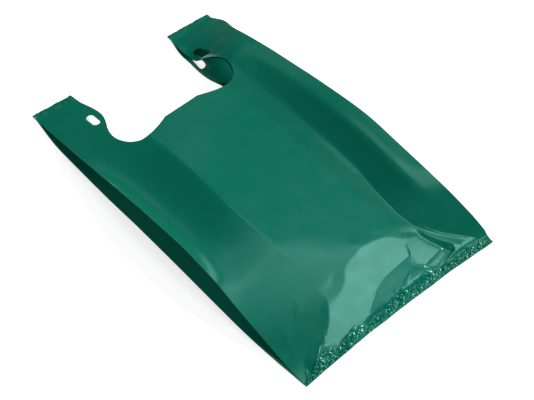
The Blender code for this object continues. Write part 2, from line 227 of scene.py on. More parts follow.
# The mesh is fine this near to the bottom and the handle tops, and coarse over these lengths from
# there on. In the handles, and a little below them, its spacing is a share of the coarse one. A
# row's height is a share of its spacing, and points keep a share of it clear of the cut edges and
# of the lines that the mesh is split along.
FINE_BOTTOM, FINE_TOP = 2.5 * BOTTOM_WELD, 1.5 * HANDLE_WELD
COARSE_OVER_BOTTOM, COARSE_OVER_TOP = 0.14, 0.05
HANDLE_SHARE, BELOW_HANDLES = 0.7, 0.02
ROW_SHARE = 0.87
CUT_CLEARANCE, LINE_CLEARANCE = 0.4, 0.35

# Beside a turned ridge or valley the mesh has a line on each side, this far off, above this height
BESIDE_TURN, BESIDE_TURN_START = 0.0018, 0.020

# Steps of each stretch of the cut, and of each round end of a hanging hole
CUT_STEPS, HOLE_STEPS = 16, 10

# The film's index of refraction, its clear gloss's roughness, and how far its share of haze swings
FILM_IOR, CLEAR_ROUGHNESS, HAZE_SWING = 1.54, 0.17, 0.18

# The floor: half its width, its depth under the bag, and how white the camera and gloss see it
FLOOR_REACH, FLOOR_DEPTH, FLOOR_GLOW = 30.0, 0.0003, 0.62
LAMP_DISTANCE, ROOM_LIGHT = 3.0, 0.07

# Where the row frame's origin lies in the flat bag's axes
BAG_CENTRE = (0.151530, 0.278424)

# The cells of the stack that hold each film
BACK, LOWER_FOLD, UPPER_FOLD, FRONT = 0, 2, 4, 6
CELLS = 7
LEVELS = CELLS + 1


def linear(hex_colour):
    """A colour written as sRGB hex, as linear red, green and blue."""
    parts = [int(hex_colour[k:k + 2], 16) / 255 for k in (1, 3, 5)]
    return [c / 12.92 if c <= 0.04045 else ((c + 0.055) / 1.055) ** 2.4 for c in parts]


def add_node(tree, kind, settings=None, inputs=None):
    """A new node with its settings, and its inputs set to values or linked from sockets."""
    node = tree.nodes.new(kind)
    for name, value in (settings or {}).items():
        setattr(node, name, value)
    for name, value in (inputs or {}).items():
        socket = node.inputs[name]
        if isinstance(value, bpy.types.NodeSocket):
            tree.links.new(value, socket)
        else:
            socket.default_value = value
    return node


def add_object(name, data):
    """A new object in the scene."""
    thing = bpy.data.objects.new(name, data)
    bpy.context.scene.collection.objects.link(thing)
    return thing


def turn_to(thing, *axes):
    """Turn an object so that its own axes point in these directions."""
    thing.rotation_mode = "QUATERNION"
    thing.rotation_quaternion = Matrix(axes).transposed().to_quaternion()


def smooth(t):
    """Ease from 0 to 1 with level ends."""
    t = np.clip(t, 0.0, 1.0)
    return t * t * (3 - 2 * t)


def mix(a, b, t):
    return a + (b - a) * t


def from_crease(u):
    """How far a place is across the flat bag from its nearer crease."""
    return np.minimum(u, BAG_WIDTH - u)


def station(v):
    """How far a place is from the bottom weld to the handle welds, held between them."""
    return np.clip((v - BOTTOM_WELD) / (TOP_WELD_V - BOTTOM_WELD), 0.0, 1.0)


def curve_weights(t):
    """Weights of the start, the direction there, the end and the direction there."""
    cubed, squared = t ** 3, t ** 2
    return (2 * cubed - 3 * squared + 1, cubed - 2 * squared + t, 3 * squared - 2 * cubed,
            cubed - squared)


def smooth_curve(knots, values, places):
    """Values at places on a smooth curve through knots."""
    knots, values = np.array(knots, float), np.array(values, float)
    last = len(knots) - 1
    here = np.arange(last + 1)
    before, after = np.maximum(here - 1, 0), np.minimum(here + 1, last)
    slopes = (values[after] - values[before]) / (knots[after] - knots[before])
    i = np.clip(np.searchsorted(knots, places, side="right") - 1, 0, last - 1)
    step = knots[i + 1] - knots[i]
    a, b, c, d = curve_weights((places - knots[i]) / step)
    return a * values[i] + b * step * slopes[i] + c * values[i + 1] + d * step * slopes[i + 1]


def along(line, v, part):
    """Drift (part 1) or height (part -1) of a line at places up the bag, in metres."""
    shares, values = [knot[0] for knot in line], [knot[part] for knot in line]
    return smooth_curve(shares, values, station(v)) * MM


def line_x(line, flat_u, v):
    """A line's place across the bag; its drift fades out over the bottom weld."""
    return flat_u + along(line, v, 1) * np.minimum(1.0, v / BOTTOM_WELD)


def line_lift(line, v):
    return along(line, v, -1)


def in_handle(v):
    """From 0 at the lobes of the mouth to 1 in the handles."""
    return smooth((v - LOBE_V) / HANDLE_START)


def turned_place(path, v):
    """Flat place of a ridge or valley that turns out to the corner near the bottom."""
    path = np.array(path) * MM
    return np.interp(v, path[:, 1], path[:, 0])


def front_point(u, v):
    """Place across, and lift above the closed stack, of the front film."""
    neck_u = BAG_WIDTH - NECK_WIDTH
    ridge_u = np.maximum(turned_place(RIDGE_PATH, v), MM)
    valley_u = np.minimum(turned_place(VALLEY_PATH, v), BAG_WIDTH - MM)
    ridge_height = line_lift(LEFT_RIDGE, v)
    valley_height = line_lift(RIGHT_VALLEY, v)
    crease_height = line_lift(LEFT_CREASE, v)
    ridge_x = line_x(LEFT_RIDGE, FOLD_DEPTH, v)
    valley_x = line_x(RIGHT_VALLEY, neck_u, v)

    left_x = mix(line_x(LEFT_CREASE, 0, v), ridge_x, u / FOLD_DEPTH)
    t = np.clip(u / ridge_u, 0, 1)
    sag = smooth_curve(*zip(*SAG_SECTION), t)
    left_lift = mix(crease_height, ridge_height, t) - line_lift(BAND_SAG, v) * sag

    middle_x = mix(ridge_x, valley_x, np.clip((u - FOLD_DEPTH) / (neck_u - FOLD_DEPTH), 0, 1))
    t = np.clip((u - ridge_u) / (valley_u - ridge_u), 0, 1)
    control = 2 * line_lift(MIDDLE, v) - (ridge_height + valley_height) / 2
    droop = TAB_DROOP * np.maximum(0.0, 1 - ((v - HOLE_V) / TAB_DROOP_REACH) ** 2) ** 2
    # The lean's 27 / 4 brings the peak of t * t * (1 - t) to 1
    middle_lift = ((1 - t) ** 2 * ridge_height + 2 * t * (1 - t) * control + t * t * valley_height
                   - line_lift(MIDDLE_LEAN, v) * 27 / 4 * t * t * (1 - t)
                   - droop * np.clip((neck_u - u) / (TAB_WIDTH - NECK_WIDTH), 0, 1))

    right_crease_x = line_x(RIGHT_CREASE, BAG_WIDTH, v)
    right_x = mix(valley_x, right_crease_x, np.clip((u - neck_u) / NECK_WIDTH, 0, 1))
    t = np.clip((u - valley_u) / (BAG_WIDTH - valley_u), 0, 1)
    rounded = smooth((station(v) - ROUNDED_FROM) / ROUNDED_OVER) * (1 - in_handle(v))
    rise = mix(t, smooth_curve(*zip(*RISE_SECTION), t), rounded)
    arching = in_handle(v) * smooth((1 - station(v)) / ARCH_FADE)
    arch = STRIP_ARCH * 4 * t * (1 - t) * arching
    right_lift = mix(valley_height, line_lift(RIGHT_CREASE, v), rise) + arch

    x = np.where(u <= FOLD_DEPTH, left_x, np.where(u <= neck_u, middle_x, right_x))
    lift = np.where(u <= ridge_u, left_lift, np.where(u <= valley_u, middle_lift, right_lift))
    return x, lift


def front_lift_at(x, v):
    """Lift of the front film straight above places across, by halving."""
    low, high = np.zeros_like(x), np.full_like(x, BAG_WIDTH)
    for _ in range(30):
        middle = (low + high) / 2
        left = front_point(middle, v)[0] < x
        low, high = np.where(left, middle, low), np.where(left, high, middle)
    return front_point(low, v)[1]


def back_point(u, v):
    lines = ((BACK_LEFT, 0.0), (BACK_INNER_LEFT, FOLD_DEPTH),
             (BACK_INNER_RIGHT, BAG_WIDTH - NECK_WIDTH), (BACK_RIGHT, BAG_WIDTH))
    x = line_x(BACK_LEFT, 0.0, v)
    for (line, start), (next_line, end) in zip(lines, lines[1:]):
        t = np.clip((u - start) / (end - start), 0, 1)
        x = np.where(u > start, mix(line_x(line, start, v), line_x(next_line, end, v), t), x)
    return x, np.zeros_like(u)


def fold_point(u, v, upper):
    """Place and lift of one leg of a side fold, from its crease to its inner edge."""
    on_left = u < BAG_WIDTH / 2
    t = from_crease(u) / FOLD_DEPTH
    film = front_point if upper else back_point
    inner_x = np.where(on_left, line_x(LEFT_FOLD, FOLD_DEPTH, v),
                       line_x(RIGHT_FOLD, BAG_WIDTH - FOLD_DEPTH, v))
    inner_lift = np.where(on_left, line_lift(LEFT_FOLD, v), line_lift(RIGHT_FOLD, v))
    crease_x = film(np.where(on_left, 0.0, BAG_WIDTH), v)[0]
    x = mix(mix(crease_x, inner_x, t), film(u, v)[0], in_handle(v))
    if not upper:
        return x, inner_lift * t * (1 - in_handle(v))
    lift = front_lift_at(x, v)
    dip = mix(front_lift_at(inner_x, v) - inner_lift, HANDLE_FOLD_DIP * lift, in_handle(v))
    return x, lift - dip * t


def length_place(lower, u, v):
    """Where plan points land along the bag: aslant at the tops, slipped in the back strips."""
    on_left, inwards = u < BAG_WIDTH / 2, from_crease(u)
    aslant = np.where(on_left, LEFT_SKEW * inwards + LEFT_STRETCH, RIGHT_SKEW * inwards)
    y = v + aslant * smooth((v - HOLE_V) / HOLE_DROP)
    t = u / BAG_WIDTH
    y = y + WELD_BOW * 4 * t * (1 - t) * smooth(1 - v / BOW_REACH)
    if lower:
        away = np.maximum((HOLE_V - v) / (LOBE_DROP - HOLE_DROP),
                          (v - HOLE_V) / (HOLE_DROP - HANDLE_WELD))
        y = y + np.where(on_left, LEFT_BACK_SLIP, RIGHT_BACK_SLIP) * smooth(1 - away)
    return y


def beside_line(x, y, points):
    """Distance of places to a broken line, positive on its left, and share of the way along."""
    lengths = [math.dist(a, b) for a, b in zip(points, points[1:])]
    nearest, share = np.full(x.shape, np.inf), np.zeros(x.shape)
    travelled = 0.0
    for a, b, length in zip(points, points[1:], lengths):
        way_x, way_y = (b[0] - a[0]) / length, (b[1] - a[1]) / length
        rel_x, rel_y = x - a[0], y - a[1]
        ahead = np.clip(rel_x * way_x + rel_y * way_y, 0, length)
        side = way_x * rel_y - way_y * rel_x
        distance = np.hypot(rel_x - way_x * ahead, rel_y - way_y * ahead)
        closer = distance < np.abs(nearest)
        nearest = np.where(closer, np.where(side > 0, distance, -distance), nearest)
        share = np.where(closer, (travelled + ahead) / sum(lengths), share)
        travelled += length
    return nearest, share


def facet_height(x, y, v, facet):
    """Gap from the film to one facet's plane, held beyond its rim, and the distance to the rim."""
    corners, height, across, up, _ = facet
    loop = [Vector(corner) for corner in corners]
    distance, rim_x, rim_y = nearest_on_loop(x, y, loop)
    inside = inside_loop(x, y, loop)
    rim_x, rim_y = np.where(inside, x, rim_x), np.where(inside, y, rim_y)
    plane = height + across * (rim_x - corners[0][0]) + up * (rim_y - corners[0][1])
    gap = plane * MM - front_lift_at(rim_x * MM, v + (rim_y - y) * MM)
    return gap, np.where(inside, 0.0, distance)


def pressed_height(x, y, v):
    """Height that the facets and wrinkles add to the front film at places on the bag, in metres."""
    total = np.zeros_like(x)
    x_mm, y_mm = x / MM, y / MM
    gaps, distances = zip(*(facet_height(x_mm, y_mm, v, facet) for facet in FACETS))
    # Between two facets the film follows the nearer one
    closeness = [(distance + 0.01) ** -3 for distance in distances]
    for facet, gap, distance, close in zip(FACETS, gaps, distances, closeness):
        total += gap * smooth(1 - distance / facet[4]) * close / sum(closeness)
    for points, height, left, right in WRINKLES:
        side, share = beside_line(x_mm, y_mm, points)
        # A wrinkle fades out over a quarter of its length at each end
        taper = smooth(np.minimum(share, 1 - share) * 4)
        total += height * MM * taper * np.exp(-np.abs(side) / np.where(side > 0, left, right))
    return total * smooth(1.2 * v / BOTTOM_WELD)


def curve(*terms):
    """Points of one smooth stretch of the cut: start, direction there, end, direction there."""
    terms = [Vector(term) for term in terms]
    return [sum((term * weight for term, weight in zip(terms, curve_weights(k / CUT_STEPS))),
                Vector((0, 0))) for k in range(CUT_STEPS)]


def handle_cut():
    """The cut edge from the left handle's top corner to the mouth's middle step."""
    corner = (HANDLE_WIDTH, BAG_LENGTH)
    tab = (TAB_WIDTH, BAG_LENGTH - TAB_DROP)
    neck = (NECK_WIDTH, BAG_LENGTH - NECK_DROP)
    lobe = (LOBE_INSET, LOBE_V)
    step = (MOUTH_STEP, BAG_LENGTH - MOUTH_DROP)
    # How far the cut runs on in its direction at each place
    tab_fall = TAB_DROP * 0.9
    neck_fall = (NECK_DROP - TAB_DROP) * 1.1
    lobe_fall = (LOBE_DROP - NECK_DROP) * 1.6
    lobe_reach = (LOBE_INSET - NECK_WIDTH) * 1.6
    step_reach = MOUTH_STEP - LOBE_INSET
    points = curve(corner, (0, -tab_fall), tab, (0, -tab_fall))
    points += curve(tab, (0, -neck_fall), neck, (0, -neck_fall))
    points += curve(neck, (0, -lobe_fall), lobe, (lobe_reach, 0))
    points += curve(lobe, (step_reach, 0), step, (step_reach, step_reach * 0.45))
    return points + [Vector(step)]


def hole_outline(centre_u):
    """A slot with round ends, as one closed loop."""
    straight = (HOLE_LENGTH - HOLE_WIDTH) / 2
    points = []
    for end, start_angle in ((1, 0.0), (-1, math.pi)):
        for k in range(HOLE_STEPS + 1):
            angle = start_angle + math.pi * k / HOLE_STEPS
            points.append(Vector((centre_u + HOLE_WIDTH / 2 * math.cos(angle),
                                  HOLE_V + end * straight + HOLE_WIDTH / 2 * math.sin(angle))))
    return points


def inside_loop(px, py, loop):
    """Even-odd test of many points against a closed loop."""
    result = np.zeros(len(px), bool)
    for a, b in zip(loop, loop[1:] + loop[:1]):
        if a.y != b.y:
            between = (a.y > py) != (b.y > py)
            result ^= between & (px < a.x + (py - a.y) / (b.y - a.y) * (b.x - a.x))
    return result


def nearest_on_loop(px, py, loop):
    """Distance of many points to a closed loop, and the nearest places on it."""
    nearest, near_x, near_y = np.full(px.shape, np.inf), px, py
    for a, b in zip(loop, loop[1:] + loop[:1]):
        way = b - a
        t = np.clip(((px - a.x) * way.x + (py - a.y) * way.y) / way.length_squared, 0, 1)
        x, y = a.x + way.x * t, a.y + way.y * t
        distance = np.hypot(px - x, py - y)
        closer = distance < nearest
        nearest = np.where(closer, distance, nearest)
        near_x, near_y = np.where(closer, x, near_x), np.where(closer, y, near_y)
    return nearest, near_x, near_y


def row_spacing(v, fine, coarse):
    """Spacing of the plan's points up the bag: fine at the welds, closer in the handles."""
    from_bottom = (v - FINE_BOTTOM) / COARSE_OVER_BOTTOM
    from_top = (BAG_LENGTH - FINE_TOP - v) / COARSE_OVER_TOP
    if v > LOBE_V - BELOW_HANDLES:
        coarse *= HANDLE_SHARE
    return mix(fine, coarse, min(max(min(from_bottom, from_top), 0.0), 1.0))


def plan_rows(start, end, fine, coarse):
    """Places up the bag, both ends included, spaced as row_spacing says."""
    rows = [start]
    while rows[-1] < end:
        rows.append(rows[-1] + row_spacing(rows[-1], fine, coarse) * ROW_SHARE)
    if end - rows[-2] < (rows[-1] - rows[-2]) / 2:
        rows.pop()
    scale = (end - start) / (rows[-1] - start)
    return [start + (v - start) * scale for v in rows]


def plan_mesh(film, fine, coarse):
    """Triangles of the flat bag, split along the creases, the folds and the welds."""
    left = handle_cut()
    right = [Vector((BAG_WIDTH - p.x, p.y)) for p in left]
    hole_u = TAB_WIDTH - HOLE_EDGE
    holes = [hole_outline(u) for u in (hole_u, BAG_WIDTH - hole_u)]
    rows = plan_rows(0.0, BOTTOM_WELD, fine, coarse)
    rows += plan_rows(BOTTOM_WELD, TOP_WELD_V, fine, coarse)[1:]
    rows += plan_rows(TOP_WELD_V, BAG_LENGTH, fine, coarse)[1:]
    outer = [Vector((0, 0)), Vector((BAG_WIDTH, 0))]
    outer += [Vector((BAG_WIDTH, BAG_LENGTH))] + right + left[::-1] + [Vector((0, BAG_LENGTH))]
    points, edges = [], []

    def add_chain(chain, closed=False):
        first = len(points)
        points.extend(chain)
        edges.extend((k, k + 1) for k in range(first, len(points) - 1))
        if closed:
            edges.append((len(points) - 1, first))

    for loop in [outer] + holes:
        add_chain(loop, True)
    edge_columns = [0.0, film, FOLD_DEPTH - film, FOLD_DEPTH]
    edge_columns += [BAG_WIDTH - u for u in edge_columns]
    for u in edge_columns:
        add_chain([Vector((u, v)) for v in rows])
    turned = []
    for path in (RIDGE_PATH, VALLEY_PATH):
        heights = [v for v in rows if BOTTOM_WELD <= v <= path[-1][1] * MM]
        for aside in (-BESIDE_TURN, 0.0, BESIDE_TURN):
            turned.append([Vector((float(turned_place(path, v)) + aside, v)) for v in heights
                           if aside == 0 or v > BESIDE_TURN_START])
            add_chain(turned[-1])
    for v in (0.0, BOTTOM_WELD, TOP_WELD_V, BAG_LENGTH):
        count = round(BAG_WIDTH / row_spacing(v, fine, coarse))
        add_chain([Vector((BAG_WIDTH * k / count, v)) for k in range(count + 1)])
    us, vs = [], []
    for number, v in enumerate(rows):
        spacing = row_spacing(v, fine, coarse)
        count = round(BAG_WIDTH / spacing)
        shift = 0.5 if number % 2 else 0.0
        for k in range(count + 1):
            us.append(BAG_WIDTH * (k + shift) / count)
            vs.append(v)
    us, vs = np.array(us), np.array(vs)
    spacings = np.array([row_spacing(v, fine, coarse) for v in vs])
    keep = inside_loop(us, vs, outer)
    for loop in [outer] + holes:
        keep &= nearest_on_loop(us, vs, loop)[0] > CUT_CLEARANCE * spacings
    for hole in holes:
        keep &= ~inside_loop(us, vs, hole)
    line_distances = [us - u for u in edge_columns] + [vs - BOTTOM_WELD, vs - TOP_WELD_V]
    line_distances += [beside_line(us, vs, chain)[0] for chain in turned]
    for distance in line_distances:
        keep &= np.abs(distance) > LINE_CLEARANCE * spacings
    points.extend(Vector((float(u), float(v))) for u, v in zip(us[keep], vs[keep]))
    verts, _, faces, *_ = delaunay_2d_cdt(points, edges, [], 0, 1e-6)
    plan = np.array([(p.x, p.y) for p in verts])
    faces = np.array([tuple(face) for face in faces if len(face) == 3])
    centres = plan[faces].mean(axis=1)
    keep = inside_loop(centres[:, 0], centres[:, 1], outer)
    for hole in holes:
        keep &= ~inside_loop(centres[:, 0], centres[:, 1], hole)
    return plan, faces[keep]


def filled_cells(centres, film):
    """Which of the seven cells of the stack are film, for each plan triangle."""
    filled = np.zeros((len(centres), CELLS), bool)
    u, v = centres[:, 0], centres[:, 1]
    inwards = from_crease(u)
    filled[:, [BACK, FRONT]] = True
    in_fold = inwards < FOLD_DEPTH
    filled[in_fold, LOWER_FOLD] = filled[in_fold, UPPER_FOLD] = True
    crease = inwards < film
    filled[crease, 1] = filled[crease, 5] = True
    filled[in_fold & (inwards > FOLD_DEPTH - film), 3] = True
    filled[(v < BOTTOM_WELD) | (v > TOP_WELD_V)] = True
    return filled


def lifted(plan, film, gap, weld):
    """The eight levels of every plan point, and their shares of the way up to the front film."""
    u, v = plan[:, 0], plan[:, 1]
    in_side_fold = from_crease(u) < FOLD_DEPTH + film / 2
    back, front = back_point(u, v), front_point(u, v)
    lower, upper = fold_point(u, v, False), fold_point(u, v, True)
    pressing = smooth(np.minimum(v / BOTTOM_WELD, (BAG_LENGTH - v) / HANDLE_WELD))
    places = np.zeros((len(plan), LEVELS, 3))
    for level in range(LEVELS):
        film_number = level // 2 * 2
        x, lift = {BACK: back, LOWER_FOLD: lower, UPPER_FOLD: upper, FRONT: front}[film_number]
        if film_number in (LOWER_FOLD, UPPER_FOLD):
            flat_x, flat_lift = back if film_number == LOWER_FOLD else front
            x, lift = np.where(in_side_fold, x, flat_x), np.where(in_side_fold, lift, flat_lift)
        places[:, level, 0] = x
        places[:, level, 1] = length_place(film_number in (BACK, LOWER_FOLD), u, v)
        stacked = level // 2 * (film + gap) + level % 2 * film
        places[:, level, 2] = lift + mix(weld * level / CELLS, stacked, pressing)
    x, z = places[..., 0], places[..., 2]
    stack_top = mix(weld, 3 * (film + gap) + film, pressing)[:, None]
    v_here = np.broadcast_to(v[:, None], x.shape)
    above = front_lift_at(x.ravel(), v_here.ravel()).reshape(x.shape) + stack_top
    return places, np.clip(z / above, 0, 1)


def film_mesh(sizes):
    """The skin round the films, closed, with each point's flat place stored on it."""
    film, gap = sizes.film, sizes.gap
    plan, triangles = plan_mesh(film, sizes.fine, sizes.coarse)
    filled = filled_cells(plan[triangles].mean(axis=1), film)
    places, share = lifted(plan, film, gap, sizes.weld)
    neighbours = {}
    for index, (a, b, c) in enumerate(triangles.tolist()):
        neighbours[a, b] = neighbours[b, c] = neighbours[c, a] = index
    faces = []
    padded = np.pad(filled, ((0, 0), (1, 1)))
    for cell in range(CELLS):
        here = filled[:, cell]
        floor = triangles[here & ~padded[:, cell]][:, ::-1] * LEVELS + cell
        roof = triangles[here & ~padded[:, cell + 2]] * LEVELS + cell + 1
        faces.extend(floor.tolist())
        faces.extend(roof.tolist())
    for index, (a, b, c) in enumerate(triangles.tolist()):
        for start, end in ((a, b), (b, c), (c, a)):
            beyond = neighbours.get((end, start))
            for cell in np.nonzero(filled[index])[0].tolist():
                if beyond is None or not filled[beyond, cell]:
                    low_a, low_b = start * LEVELS + cell, end * LEVELS + cell
                    faces.append([low_a, low_b, low_b + 1])
                    faces.append([low_a, low_b + 1, low_a + 1])
    faces = np.array(faces)
    used, numbers = np.unique(faces, return_inverse=True)
    faces = numbers.reshape(faces.shape)
    points = places.reshape(-1, 3)[used] - (*BAG_CENTRE, 0)
    mesh = bpy.data.meshes.new("bag_film")
    mesh.from_pydata(points.tolist(), [], faces.tolist())
    flat = plan[used // LEVELS]
    stored = mesh.attributes.new("flat_place", "FLOAT_VECTOR", "POINT")
    kept = np.column_stack([flat, share.ravel()[used]])
    stored.data.foreach_set("vector", kept.astype("f").ravel())
    uv_map = mesh.uv_layers.new(name="flat")
    corners = np.zeros(len(mesh.loops), int)
    mesh.loops.foreach_get("vertex_index", corners)
    uv_map.data.foreach_set("uv", (flat[corners] / BAG_LENGTH).astype("f").ravel())
    split_front(mesh)
    press(mesh)
    return mesh


def split_front(mesh):
    """Halve the mesh spacing of the front film's outer face where it is most wrinkled."""
    shell = bmesh.new()
    shell.from_mesh(mesh)
    stored = shell.verts.layers.float_vector["flat_place"]
    corner_left, corner_right, corner_reach = CORNER_SPLIT
    near = {p for p in shell.verts if p[stored].z > 0.999 and (
        p[stored].y < FRONT_SPLIT_REACH
        or corner_left < p[stored].x < corner_right and p[stored].y < corner_reach)}
    edges = [edge for edge in shell.edges if edge.verts[0] in near and edge.verts[1] in near]
    bmesh.ops.subdivide_edges(shell, edges=edges, cuts=1, use_grid_fill=True)
    bmesh.ops.triangulate(shell, faces=[face for face in shell.faces if len(face.verts) > 3])
    shell.to_mesh(mesh)
    shell.free()


def press(mesh):
    """Press the facets and wrinkles into the film, in full at the front and less below."""
    count = len(mesh.vertices)
    places, stored = np.zeros(count * 3, "f"), np.zeros(count * 3, "f")
    mesh.vertices.foreach_get("co", places)
    mesh.attributes["flat_place"].data.foreach_get("vector", stored)
    places, stored = places.reshape(-1, 3).astype(float), stored.reshape(-1, 3).astype(float)
    low = stored[:, 1] < PRESSED_REACH
    x, y = places[low, 0] + BAG_CENTRE[0], places[low, 1] + BAG_CENTRE[1]
    places[low, 2] += pressed_height(x, y, stored[low, 1]) * stored[low, 2]
    mesh.vertices.foreach_set("co", places.astype("f").ravel())
    mesh.update()


def film_material(look):
    """Blown HDPE film, pigmented green and opaque, folded from a tube.

    Its gloss has two parts: a clear one that shows a lamp with firm edges, and a waxy haze. The
    The eye also sees faint lines in the direction in which the film was drawn from its die, and
    soft cloudy patches where the haze is stronger and the green a little deeper. Painted shade: a
    deeper green is drawn over the side folds, where four films lie together.
    """
    material = bpy.data.materials.new("blown_hdpe_film")
    material.use_nodes = True
    tree = material.node_tree
    clear = tree.nodes["Principled BSDF"]
    waxy = add_node(tree, "ShaderNodeBsdfPrincipled")
    flat = add_node(tree, "ShaderNodeUVMap", {"uv_map": "flat"})
    parts = add_node(tree, "ShaderNodeSeparateXYZ", inputs={"Vector": flat.outputs["UV"]})
    across = parts.outputs["X"]
    # Clouds about 30 mm across: the UV map's unit is the bag's length
    clouds = add_node(tree, "ShaderNodeTexNoise", inputs={
        "Vector": flat.outputs["UV"], "Scale": BAG_LENGTH / 0.03, "Detail": 3.0})
    share = add_node(tree, "ShaderNodeMapRange", inputs={
        "Value": clouds.outputs["Fac"], "From Min": 0.35, "From Max": 0.65,
        "To Min": look.haze_share - HAZE_SWING, "To Max": look.haze_share + HAZE_SWING})
    both = add_node(tree, "ShaderNodeMixShader", inputs={
        0: share.outputs[0], 1: clear.outputs[0], 2: waxy.outputs[0]})
    tree.links.new(both.outputs[0], tree.nodes["Material Output"].inputs["Surface"])
    # Painted shade: the film is drawn a deeper green between the creases and the side folds' inner
    # edges, where four films lie together, standing in for the shade on the side bands.
    middle = BAG_WIDTH / 2 / BAG_LENGTH
    from_middle = add_node(
        tree, "ShaderNodeMath", {"operation": "SUBTRACT"}, {0: across, 1: middle})
    outwards = add_node(
        tree, "ShaderNodeMath", {"operation": "ABSOLUTE"}, {0: from_middle.outputs[0]})
    edge = (BAG_WIDTH / 2 - FOLD_DEPTH) / BAG_LENGTH
    layers = add_node(tree, "ShaderNodeMapRange", {"interpolation_type": "SMOOTHSTEP"}, {
        "Value": outwards.outputs[0], "From Min": edge, "From Max": edge + 0.012 / BAG_LENGTH})
    # The painted shade is left out low on the left, from 60 to 260 mm up, where the fold stands
    # open behind the front film.
    shade_free_left = add_node(tree, "ShaderNodeMath", {"operation": "LESS_THAN"}, {0: across, 1: middle})
    for start, end in ((0.060, 0.110), (0.260, 0.160)):
        part = add_node(tree, "ShaderNodeMapRange", {"interpolation_type": "SMOOTHSTEP"}, {
            "Value": parts.outputs["Y"], "From Min": start / BAG_LENGTH,
            "From Max": end / BAG_LENGTH})
        shade_free_left = add_node(tree, "ShaderNodeMath", {"operation": "MULTIPLY"}, {
            0: shade_free_left.outputs[0], 1: part.outputs[0]})
    # The painted shade's mask: the side bands, less the patch low on the left
    stacked = add_node(tree, "ShaderNodeMath", {"operation": "SUBTRACT", "use_clamp": True}, {
        0: layers.outputs[0], 1: shade_free_left.outputs[0]})
    cloudy = add_node(tree, "ShaderNodeMapRange", inputs={
        "Value": clouds.outputs["Fac"], "From Min": 0.3, "From Max": 0.7, "To Max": 0.35})
    # The painted shade and the random cloudy patches together set how far the green deepens
    depth = add_node(tree, "ShaderNodeMath", {"operation": "ADD", "use_clamp": True}, {
        0: stacked.outputs[0], 1: cloudy.outputs[0]})
    colour = add_node(tree, "ShaderNodeMix", {"data_type": "RGBA"}, {
        0: depth.outputs[0], 6: (*look.colour, 1), 7: (*look.shade_and_mottle_colour, 1)})
    # Die lines 1.2 mm apart, drawn out to 150 mm long, with a slow waviness of 12 mm
    stretched = add_node(tree, "ShaderNodeMapping", inputs={
        "Vector": flat.outputs["UV"],
        "Scale": (BAG_LENGTH / 0.0012, BAG_LENGTH / 0.15, 1.0)})
    lines = add_node(tree, "ShaderNodeTexNoise", inputs={
        "Vector": stretched.outputs[0], "Scale": 1.0, "Detail": 2.0})
    waves = add_node(tree, "ShaderNodeTexNoise", inputs={
        "Vector": flat.outputs["UV"], "Scale": BAG_LENGTH / 0.012, "Detail": 1.0})
    waving = add_node(tree, "ShaderNodeBump", inputs={
        "Strength": 0.5, "Distance": 0.00012, "Height": waves.outputs["Fac"]})
    bump = add_node(tree, "ShaderNodeBump", inputs={
        "Strength": 0.5, "Distance": 0.000015, "Height": lines.outputs["Fac"],
        "Normal": waving.outputs["Normal"]})
    for shader, roughness in ((clear, CLEAR_ROUGHNESS), (waxy, look.haze)):
        shader.inputs["Roughness"].default_value = roughness
        shader.inputs["IOR"].default_value = FILM_IOR
        shader.inputs["Specular Tint"].default_value = (*look.gloss_tint, 1)
        tree.links.new(colour.outputs[2], shader.inputs["Base Color"])
        tree.links.new(bump.outputs["Normal"], shader.inputs["Normal"])
    return material


class BagSizes(bpy.types.PropertyGroup):
    """Sizes of the film and its crinkles."""
    film: FloatProperty(
        name="Film", description="Thickness the film is drawn at", default=0.00012, unit="LENGTH")
    gap: FloatProperty(
        name="Gap", description="Air between layers that lie together", default=0.0003,
        unit="LENGTH")
    weld: FloatProperty(
        name="Weld", description="Thickness of the welded bands", default=0.0008, unit="LENGTH")
    fine: FloatProperty(
        name="Fine spacing", description="Spacing of the mesh at the welds", default=0.00185,
        unit="LENGTH")
    coarse: FloatProperty(
        name="Coarse spacing", description="Spacing of the mesh elsewhere", default=0.0065,
        unit="LENGTH")
    crinkle_height: FloatProperty(
        name="Crinkle height", description="Height of the crinkles at the welds", default=0.0012,
        unit="LENGTH")
    crinkle_spacing: FloatProperty(
        name="Crinkle spacing", description="Distance between crinkles", default=0.0040,
        unit="LENGTH")


class BagLook(bpy.types.PropertyGroup):
    """Colours and gloss of the film, and the floor's colour."""
    colour: FloatVectorProperty(
        name="Film colour", description="The green pigment", subtype="COLOR", min=0.0, max=1.0,
        default=linear("#006E5A"))
    # Painted shade: this deeper green is drawn over the side folds, where four films lie together,
    # in place of their shade; it also deepens random cloudy patches
    shade_and_mottle_colour: FloatVectorProperty(
        name="Deep film colour", description="The green where four films lie together",
        subtype="COLOR", min=0.0, max=1.0, default=linear("#006853"))
    gloss_tint: FloatVectorProperty(
        name="Gloss tint", description="Tint of the film's reflections", subtype="COLOR", min=0.0,
        max=1.0, default=linear("#B4FFF2"))
    haze_share: FloatProperty(
        name="Haze share", description="Share of the gloss that is a waxy haze", default=0.22,
        min=0.0, max=1.0, subtype="FACTOR")
    haze: FloatProperty(
        name="Haze", description="Roughness of the film's waxy haze", default=0.36, min=0.05,
        max=0.95, subtype="FACTOR")
    floor_colour: FloatVectorProperty(
        name="Floor colour", description="The paper the bag lies on", subtype="COLOR", min=0.0,
        max=1.0, default=linear("#F2F2F2"))


